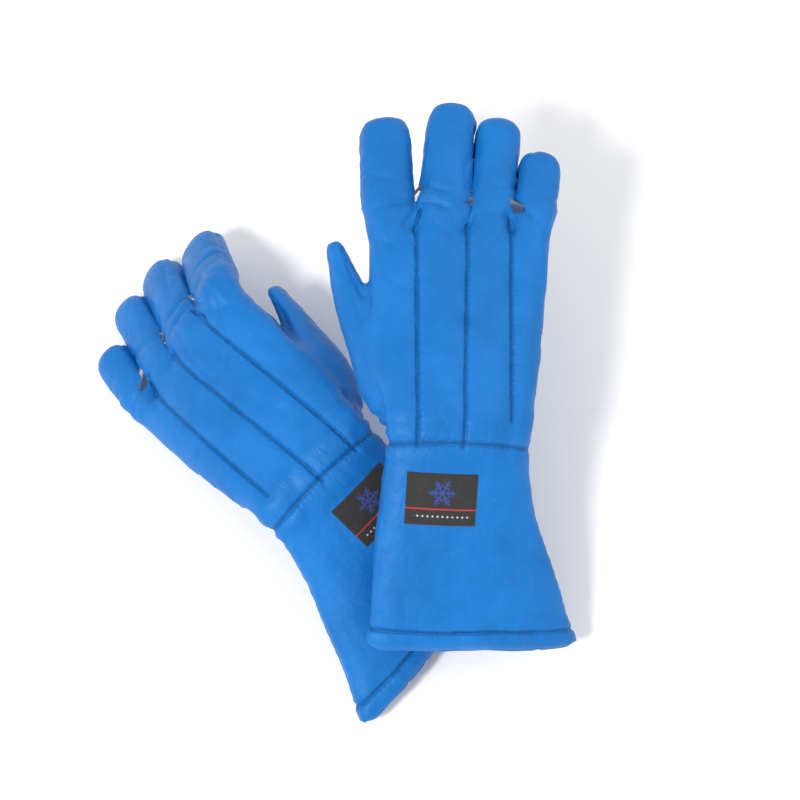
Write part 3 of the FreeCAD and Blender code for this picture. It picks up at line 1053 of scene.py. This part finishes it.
def make_groups():
    place = ("NodeSocketVector", None)
    number = "NodeSocketFloat"
    colour = "NodeSocketColor"
    return {
        "weave": shader_group("thread_weave", {"Cloth": place, "Pitch": (number, 0.0006)},
                              {"Height": number, "Over": number}, plain_weave),
        "line": shader_group("sewn_line", {"Cloth": place, "Start": place, "End": place},
                             {"Distance": number, "Along": number}, sewn_line),
        "pucker": shader_group("seam_puckers", {"Distance": (number, 1.0), "Along": (number, 0.0),
                                                "Stitch": (number, 0.0032), "Width": (number, 0.0009)},
                               {"Height": number, "Fold": number}, seam_puckers),
        "slack": shader_group("slack_cloth", {"Cloth": place, "Seam": (number, 1.0)},
                              {"Height": number, "Broad": number}, slack_cloth),
        "tone": shader_group("worn_tone_and_seam_shade",
                             {"Cloth": place, "Seam": (number, 1.0), "Deep": (colour, None),
                              "Pale": (colour, None), "Shade": (colour, None), "Rub": (number, 0.5),
                              "Seam Dark": (number, 0.6)},
                             {"Colour": colour, "Rubbed": number}, worn_tone_and_seam_shade),
        "fibres": shader_group("stray_fibres", {"Cloth": place, "Density": (number, 300.0)},
                               {"Mask": number}, stray_fibres)}


def new_material(name):
    material = bpy.data.materials.new(name)
    material.use_nodes = True
    material.node_tree.nodes.clear()
    return material, Nodes(material.node_tree)


def close_material(nodes, inputs):
    shader = nodes.add("ShaderNodeBsdfPrincipled", inputs)
    output = nodes.add("ShaderNodeOutputMaterial")
    nodes.tree.links.new(shader.outputs[0], output.inputs["Surface"])


def group_node(nodes, tree, inputs):
    node = nodes.add("ShaderNodeGroup", node_tree=tree)
    for key, value in inputs.items():
        if isinstance(value, bpy.types.NodeSocket):
            nodes.tree.links.new(value, node.inputs[key])
        else:
            node.inputs[key].default_value = value
    return node.outputs


def field(nodes, name):
    return nodes.add("ShaderNodeAttribute", attribute_name=name)


def bumped(nodes, height, distance, below=None):
    inputs = {"Height": height, "Distance": distance, "Strength": 1.0}
    if below is not None:
        inputs["Normal"] = below
    return nodes.add("ShaderNodeBump", inputs).outputs[0]


def sewn_lines(nodes, groups, cloth):
    """Every sewn line that shows on the outside: the painted shade of its fold, as a mask, and the fold and
    its puckers, as a height.
    """
    apart = nodes.add("ShaderNodeSeparateXYZ", {0: cloth}).outputs
    on_back = nodes.fade(apart["Z"], -0.001, 0.004)
    lines = []
    for a, b in BACK_SEAMS:
        line = group_node(nodes, groups["line"], {"Cloth": cloth, "Start": (*a, 0.0), "End": (*b, 0.0)})
        lines.append((line["Distance"], line["Along"], on_back, 0.0008, 0.0034))
    bow = nodes.times(nodes.times(apart["X"], apart["X"]), WRIST_ARCH / 0.048 ** 2)
    arch = nodes.times(nodes.minus(WRIST_ARCH, bow), on_back)
    at_wrist = nodes.math("ABSOLUTE", nodes.minus(apart["Y"], arch))
    lines.append((at_wrist, apart["X"], 1.0, 0.0009, 0.0040))
    above = field(nodes, "above_hem").outputs["Fac"]
    lines.append((nodes.math("ABSOLUTE", above), apart["X"], 1.0, 0.0006, 0.0046))
    seam_shade, height = 0.0, 0.0
    for distance, along, where, width, stitch in lines:
        seam = group_node(nodes, groups["pucker"], {"Distance": distance, "Along": along, "Stitch": stitch,
                                                    "Width": width})
        seam_shade = nodes.math("MAXIMUM", seam_shade, nodes.times(seam["Fold"], where))
        height = nodes.plus(height, nodes.times(seam["Height"], where))
    return seam_shade, height


def nylon_material(groups):
    """The tightly woven, coated nylon of the outside: satin, with a fine rib."""
    material, nodes = new_material("blue_coated_nylon")
    cloth = field(nodes, "cloth_at").outputs["Vector"]
    seam = field(nodes, "seam_near").outputs["Fac"]
    # fold carries the mask of painted shade along the seams
    fold, gathered = sewn_lines(nodes, groups, cloth)
    # Shade and Seam Dark give the painted shade in the seams; Rub is wear beside them
    tone = group_node(nodes, groups["tone"], {
        "Cloth": cloth, "Seam": seam, "Deep": (0.003, 0.118, 0.390, 1), "Pale": (0.006, 0.150, 0.480, 1),
        "Shade": (0.001, 0.030, 0.130, 1), "Rub": 0.35, "Seam Dark": 0.10})
    weave = group_node(nodes, groups["weave"], {"Cloth": cloth, "Pitch": 0.00055})
    slack = group_node(nodes, groups["slack"], {"Cloth": cloth, "Seam": seam})
    lint = group_node(nodes, groups["fibres"], {"Cloth": cloth, "Density": 260.0})
    colour = nodes.mix(nodes.times(weave["Over"], 0.12), tone["Colour"], (0.02, 0.24, 0.65, 1))
    colour = nodes.mix(nodes.times(lint["Mask"], 0.03), colour, (0.5, 0.65, 0.85, 1))
    # painted shade in the seam folds: a near-black blue mixed in along the fold mask
    colour = nodes.mix(nodes.times(fold, 0.55), colour, (0.001, 0.022, 0.100, 1))
    rough = nodes.plus(nodes.fade(slack["Broad"], 0.3, 0.7, 0.40, 0.52),
                       nodes.times(tone["Rubbed"], 0.10))
    normal = bumped(nodes, gathered, 0.0012)
    normal = bumped(nodes, slack["Height"], 0.0018, normal)
    normal = bumped(nodes, weave["Height"], 0.00005, normal)
    close_material(nodes, {"Base Color": colour, "Roughness": rough, "Normal": normal,
                           "Specular IOR Level": 0.30, "Specular Tint": (0.60, 0.80, 1.0, 1),
                           "Sheen Weight": 0.06, "Sheen Roughness": 0.35,
                           "Sheen Tint": (0.35, 0.60, 1.0, 1)})
    return material


def lining_material(groups):
    """Brushed knit against the hand."""
    material, nodes = new_material("brushed_lining")
    cloth = field(nodes, "cloth_at").outputs["Vector"]
    tone = group_node(nodes, groups["tone"], {
        "Cloth": cloth, "Deep": (0.012, 0.030, 0.090, 1), "Pale": (0.022, 0.050, 0.140, 1),
        "Shade": (0.004, 0.008, 0.02, 1)})
    fibres = group_node(nodes, groups["fibres"], {"Cloth": cloth, "Density": 520.0})
    weave = group_node(nodes, groups["weave"], {"Cloth": cloth, "Pitch": 0.0013})
    colour = nodes.mix(nodes.times(fibres["Mask"], 0.5), tone["Colour"], (0.06, 0.11, 0.24, 1))
    normal = bumped(nodes, weave["Height"], 0.0003)
    normal = bumped(nodes, fibres["Mask"], 0.0003, normal)
    close_material(nodes, {"Base Color": colour, "Roughness": 0.95, "Normal": normal,
                           "Specular IOR Level": 0.2, "Sheen Weight": 0.5, "Sheen Roughness": 0.6})
    return material


def batting_material(groups):
    """Lofty insulation between the shell and the lining."""
    material, nodes = new_material("insulation_batting")
    cloth = field(nodes, "cloth_at").outputs["Vector"]
    slack = group_node(nodes, groups["slack"], {"Cloth": cloth})
    fibres = group_node(nodes, groups["fibres"], {"Cloth": cloth, "Density": 700.0})
    colour = nodes.mix(slack["Broad"], (0.66, 0.66, 0.63, 1), (0.86, 0.86, 0.84, 1))
    normal = bumped(nodes, slack["Height"], 0.002)
    normal = bumped(nodes, fibres["Mask"], 0.0005, normal)
    close_material(nodes, {"Base Color": colour, "Roughness": 1.0, "Normal": normal,
                           "Specular IOR Level": 0.1, "Sheen Weight": 0.4})
    return material


def label_material(groups):
    """A black woven label: a deep blue snow crystal, a red line, and a row of pale lozenges."""
    material, nodes = new_material("woven_label")
    at = field(nodes, "label_at").outputs["Vector"]
    scaled = nodes.add("ShaderNodeMapping", {"Vector": at, "Scale": (LABEL["width"], LABEL["height"], 1.0)})
    weave = group_node(nodes, groups["weave"], {"Cloth": scaled.outputs[0], "Pitch": 0.00042})
    fibres = group_node(nodes, groups["fibres"], {"Cloth": scaled.outputs[0], "Density": 500.0})
    apart = nodes.add("ShaderNodeSeparateXYZ", {0: scaled.outputs[0]})
    x = nodes.minus(apart.outputs["X"], LABEL["width"] / 2)
    y = nodes.minus(apart.outputs["Y"], LABEL["height"] * 0.63)
    radius = nodes.math("SQRT", nodes.plus(nodes.times(x, x), nodes.times(y, y)))
    folded = nodes.math("PINGPONG", nodes.math("ARCTAN2", y, x), math.pi / 6)
    ahead = nodes.times(radius, nodes.math("COSINE", folded))
    beside = nodes.times(radius, nodes.math("SINE", folded))
    star = nodes.times(nodes.fade(beside, 0.0005, 0.0008, 1.0, 0.0),
                      nodes.fade(ahead, 0.0088, 0.0091, 1.0, 0.0))
    for root, reach in ((0.0034, 0.0023), (0.0058, 0.0017)):
        slant = nodes.minus(nodes.times(nodes.minus(ahead, root), 0.866),
                           nodes.times(beside, 0.5))
        branch = nodes.times(nodes.fade(nodes.math("ABSOLUTE", slant), 0.0004, 0.0007, 1.0, 0.0),
                            nodes.fade(beside, reach, reach + 0.0003, 1.0, 0.0))
        star = nodes.math("MAXIMUM", star, branch)
    line_y = nodes.math("ABSOLUTE", nodes.minus(apart.outputs["Y"], LABEL["line_up"]))
    line = nodes.fade(line_y, 0.0004, 0.0006, 1.0, 0.0)
    cell = nodes.math("ABSOLUTE", nodes.minus(nodes.math("FRACT", nodes.math(
        "DIVIDE", apart.outputs["X"], 0.0032)), 0.5))
    low = nodes.math("ABSOLUTE", nodes.minus(apart.outputs["Y"], 0.0062))
    lozenge = nodes.plus(nodes.times(cell, 0.0032), low)
    lozenge = nodes.fade(lozenge, 0.0007, 0.0010, 1.0, 0.0)
    inside = nodes.fade(nodes.math("ABSOLUTE", x), 0.0175, 0.0178, 1.0, 0.0)
    lozenge = nodes.times(lozenge, inside)
    ground = nodes.mix(weave["Over"], (0.006, 0.006, 0.007, 1), (0.016, 0.015, 0.017, 1))
    colour = nodes.mix(star, ground, (0.012, 0.045, 0.22, 1))
    colour = nodes.mix(line, colour, (0.45, 0.012, 0.018, 1))
    colour = nodes.mix(nodes.times(lozenge, 0.8), colour, (0.55, 0.55, 0.57, 1))
    colour = nodes.mix(nodes.times(fibres["Mask"], 0.08), colour, (0.4, 0.4, 0.42, 1))
    raised = nodes.plus(weave["Height"], nodes.times(nodes.math("MAXIMUM", star, line), 1.5))
    normal = bumped(nodes, raised, 0.00012)
    close_material(nodes, {"Base Color": colour, "Roughness": 0.72, "Normal": normal, "Sheen Weight": 0.2})
    return material


def thread_material(groups, name, colour, shine):
    """Twisted polyester sewing thread."""
    material, nodes = new_material(name)
    place = nodes.add("ShaderNodeNewGeometry").outputs["Position"]
    slack = group_node(nodes, groups["slack"], {"Cloth": place})
    dark = tuple(c * 0.55 for c in colour[:3]) + (1,)
    toned = nodes.mix(slack["Broad"], dark, colour)
    normal = bumped(nodes, slack["Height"], 0.0002)
    close_material(nodes, {"Base Color": toned, "Roughness": shine, "Normal": normal, "Sheen Weight": 0.1})
    return material


def make_materials():
    groups = make_groups()
    return {"nylon": nylon_material(groups), "lining": lining_material(groups),
            "batting": batting_material(groups), "label": label_material(groups),
            "thread": thread_material(groups, "blue_thread", (0.006, 0.085, 0.36, 1), 0.5),
            "label_thread": thread_material(groups, "black_thread", (0.02, 0.02, 0.022, 1), 0.5)}


# ---- stage, light and camera

ELEVATION = math.radians(68)
CAMERA_AIM = Vector((0.0488, 0.0134, 0.0609))
CAMERA_FAR = 1.3
CAMERA_SPAN = 0.544     # what the picture spans at that distance
CAMERA_SENSOR = 36      # mm


def make_stage():
    floor = mesh_object("bench", [(-4, -4, 0), (4, -4, 0), (4, 4, 0), (-4, 4, 0)], [(0, 1, 2, 3)])
    material, nodes = new_material("pale_bench")
    grain = nodes.add("ShaderNodeTexNoise", {"Scale": 3.0})
    colour = nodes.mix(grain.outputs[0], (0.93, 0.93, 0.93, 1), (0.95, 0.95, 0.95, 1))
    close_material(nodes, {"Base Color": colour, "Roughness": 0.9, "Specular IOR Level": 0.1})
    floor.data.materials.append(material)


def area_light(name, place, target, size, power, colour=(1, 1, 1)):
    light = bpy.data.lights.new(name, "AREA")
    light.shape = "DISK"
    light.size = size
    light.energy = power
    light.color = colour
    obj = bpy.data.objects.new(name, light)
    bpy.context.scene.collection.objects.link(obj)
    obj.location = place
    obj.rotation_euler = (Vector(target) - Vector(place)).to_track_quat("-Z", "Y").to_euler()


def make_light():
    area_light("key", (-0.85, -0.94, 1.82), (0, 0, 0.05), 0.42, 33, (1.0, 0.99, 0.98))
    area_light("fill", (1.3, 0.6, 1.9), (0, 0, 0.05), 1.8, 9)
    world = bpy.data.worlds.new("studio")
    world.use_nodes = True
    world.node_tree.nodes["Background"].inputs["Color"].default_value = (1.0, 1.0, 1.0, 1)
    world.node_tree.nodes["Background"].inputs["Strength"].default_value = 0.80
    bpy.context.scene.world = world
    bpy.context.scene.view_settings.view_transform = "Standard"


def make_camera():
    camera = bpy.data.cameras.new("front_camera")
    camera.lens = CAMERA_SENSOR * CAMERA_FAR / CAMERA_SPAN
    obj = bpy.data.objects.new("front_camera", camera)
    bpy.context.scene.collection.objects.link(obj)
    back = Vector((0, -math.cos(ELEVATION), math.sin(ELEVATION)))
    obj.location = CAMERA_AIM + back * CAMERA_FAR
    obj.rotation_euler = (-back).to_track_quat("-Z", "Y").to_euler()
    bpy.context.scene.camera = obj


MATERIALS = make_materials()
coarse_pattern, fine_pattern = make_pattern()
for each in GLOVES:
    raised_points = make_skin(each, fine_pattern)
    cloth_tree = surface_tree(raised_points, fine_pattern)
    make_hem(each, fine_pattern, raised_points)
    make_inner_layers(each, coarse_pattern)
    make_label(each, cloth_tree)
    make_hem_stitches(each, cloth_tree)
for pattern in (coarse_pattern, fine_pattern):
    bpy.data.objects.remove(pattern)
make_stage()
make_light()
make_camera()
